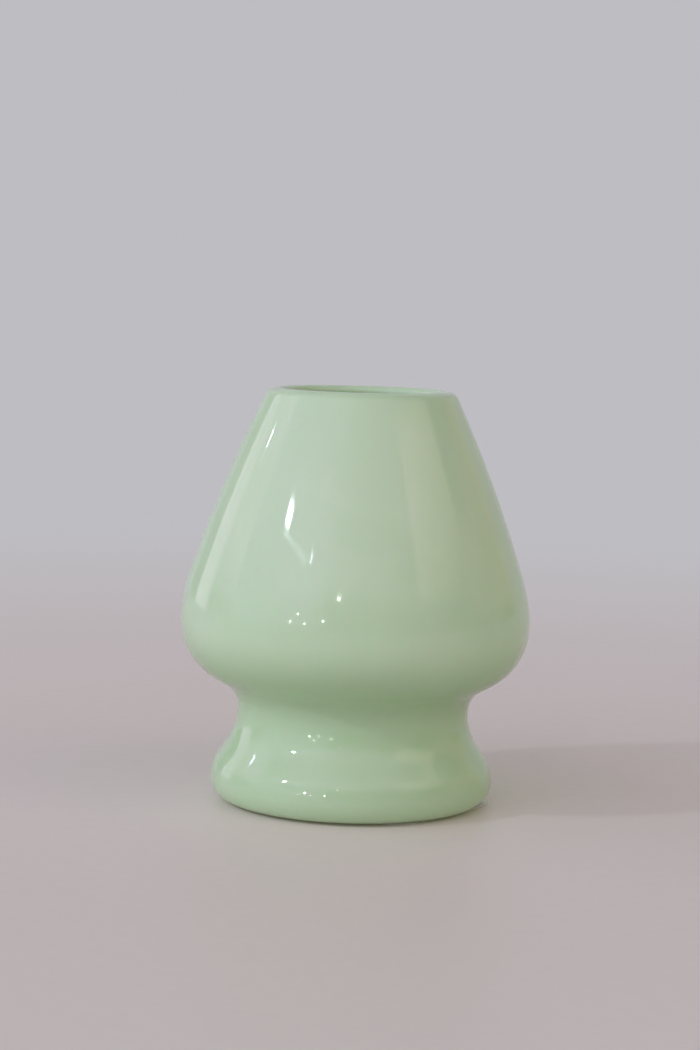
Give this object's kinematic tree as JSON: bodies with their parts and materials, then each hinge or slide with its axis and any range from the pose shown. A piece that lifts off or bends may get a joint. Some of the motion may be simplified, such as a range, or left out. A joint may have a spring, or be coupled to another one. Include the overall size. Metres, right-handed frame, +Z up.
{
  "type": "tea whisk stand",
  "caption": "Hollow bell-shaped whisk stand in opaque jade-green glass, with a small open mouth, a narrow waist and a flared foot on a thin clear film.",
  "frame": {"origin": "on the stand's axis, at the surface that it rests on", "axes": "+Z up along the axis of the bell, towards its mouth; +X to the right and +Y away from someone facing it"},
  "size_m": [0.06, 0.06, 0.071],
  "materials": {
    "jade_glass": "gloss",
    "clear_film": "gloss"
  },
  "bodies": {
    "root": {"glass_body": "jade_glass", "clear_base_film": "clear_film"}
  },
  "joints": []
}
